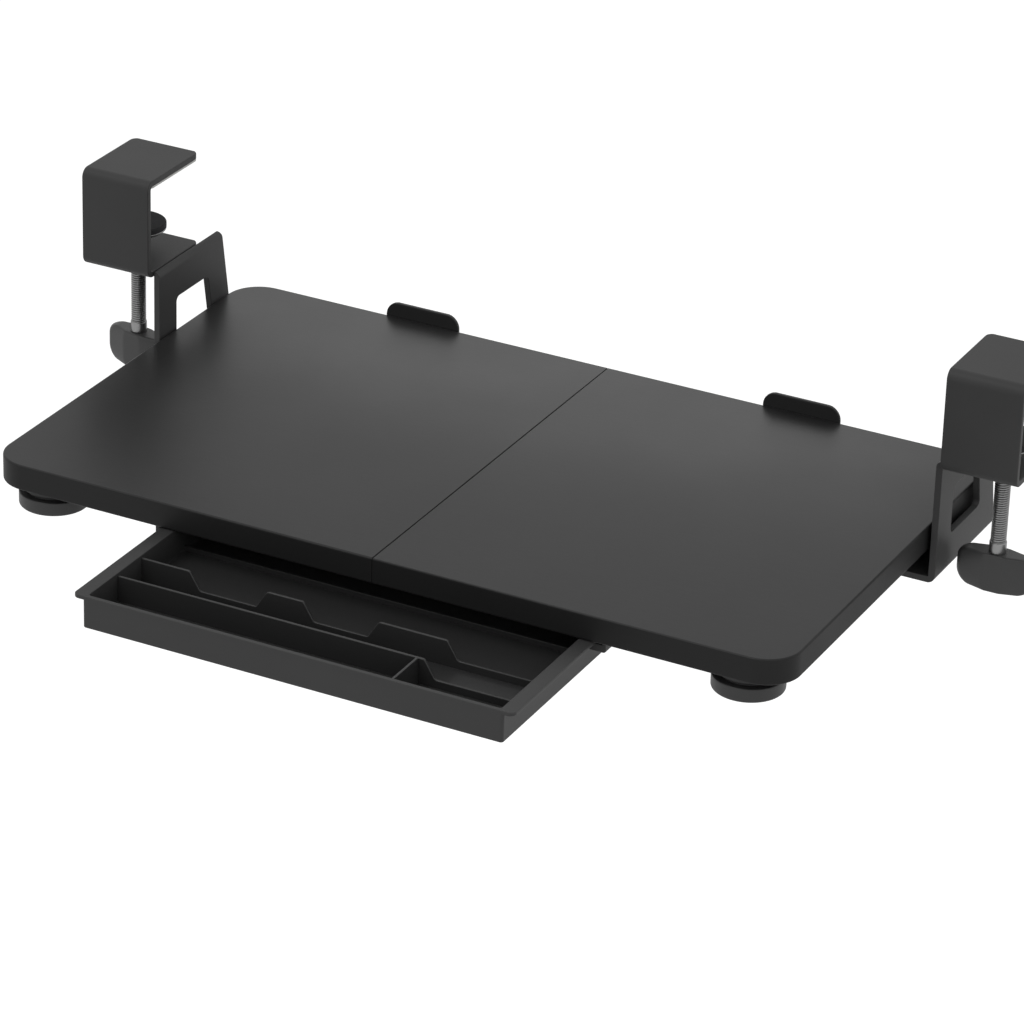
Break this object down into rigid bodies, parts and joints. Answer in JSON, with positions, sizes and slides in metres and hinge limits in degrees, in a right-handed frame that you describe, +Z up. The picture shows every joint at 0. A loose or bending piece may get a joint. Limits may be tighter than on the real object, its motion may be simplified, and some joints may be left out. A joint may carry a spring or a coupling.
{
  "type": "keyboard tray under desk",
  "caption": "Clamp-on tray for a keyboard and mouse that slides under a desk's edge, with a divided pen drawer below its board.",
  "frame": {"origin": "the desk's upper front edge, midway between the two clamps: the front plates' inner faces lie on Y = 0 and the upper jaws' pads rest at Z = 0", "axes": "+X to the sitter's right, +Y from the sitter towards the back of the desk, +Z up"},
  "size_m": [0.5376, 0.3401, 0.1246],
  "materials": {
    "coated_steel": "fine satin powder coat, near black",
    "rail_steel": "thin satin black coat on rolled steel",
    "zinc_steel": "dull zinc plate",
    "blackened_fasteners": "blackened steel",
    "black_laminate": "fibreboard with a black, finely grained laminate",
    "beech_dowel": "plain turned beech",
    "drawer_plastic": "finely textured black moulding",
    "knob_plastic": "matt dark grey moulding",
    "foot_plastic": "matt black moulding",
    "nylon": "smooth black nylon",
    "disc_rubber": "matt black rubber",
    "pale_pad": "thin pale grey soft pad"
  },
  "bodies": {
    "root": {"clamp_left": "coated_steel", "clamp_right": "coated_steel", "top_pad_left": "pale_pad", "top_pad_right": "pale_pad", "clamp_nut_left": "zinc_steel", "clamp_nut_right": "zinc_steel", "bracket_left": "coated_steel", "bracket_right": "coated_steel", "bracket_welds": "coated_steel", "glide_left": "nylon", "glide_right": "nylon", "glide_screws": "blackened_fasteners"},
    "disc_left": {"pressure_cup_left": "zinc_steel", "pressure_pad_left": "disc_rubber"},
    "disc_right": {"pressure_cup_right": "zinc_steel", "pressure_pad_right": "disc_rubber"},
    "screw_left": {"clamp_screw_left": "zinc_steel", "knob_left": "knob_plastic"},
    "screw_right": {"clamp_screw_right": "zinc_steel", "knob_right": "knob_plastic"},
    "tray": {"board_left": "black_laminate", "board_right": "black_laminate", "joining_plate_front": "zinc_steel", "joining_plate_rear": "zinc_steel", "joining_screws": "blackened_fasteners", "dowels": "beech_dowel", "rail_left": "rail_steel", "rail_right": "rail_steel", "rail_screws": "blackened_fasteners", "rail_stop_left": "nylon", "rail_stop_right": "nylon", "foot_left": "foot_plastic", "foot_right": "foot_plastic", "foot_screws": "blackened_fasteners", "back_stop_left": "coated_steel", "back_stop_right": "coated_steel", "back_stop_screws": "blackened_fasteners", "runner_left": "drawer_plastic", "runner_right": "drawer_plastic", "runner_screws": "blackened_fasteners"},
    "drawer": {"drawer": "drawer_plastic"}
  },
  "joints": [
    {"name": "tray_slide", "type": "slide", "parent": "root", "child": "tray", "axis": [0, 1, 0], "range_m": [0, 0.132]},
    {"name": "drawer_slide", "type": "slide", "parent": "tray", "child": "drawer", "axis": [0, -1, 0], "range_m": [-0.083, 0.036]},
    {"name": "disc_left_slide", "type": "slide", "parent": "root", "child": "disc_left", "axis": [0, 0, 1], "range_m": [-0.0062, 0.0198]},
    {"name": "screw_left_turn", "type": "hinge", "parent": "disc_left", "child": "screw_left", "pos_m": [-0.24815, 0.0248, -0.0308], "axis": [0, 0, 1], "range_deg": [-1786.6, 5703.4]},
    {"name": "disc_right_slide", "type": "slide", "parent": "root", "child": "disc_right", "axis": [0, 0, 1], "range_m": [-0.0014, 0.0246]},
    {"name": "screw_right_turn", "type": "hinge", "parent": "disc_right", "child": "screw_right", "pos_m": [0.24815, 0.0248, -0.0356], "axis": [0, 0, 1], "range_deg": [-404.2, 7085.8]}
  ],
  "couplings": [
    {"joint": "screw_left_turn", "follows": "disc_left_slide", "rad_per_m": 5026.5},
    {"joint": "screw_right_turn", "follows": "disc_right_slide", "rad_per_m": 5026.5}
  ]
}
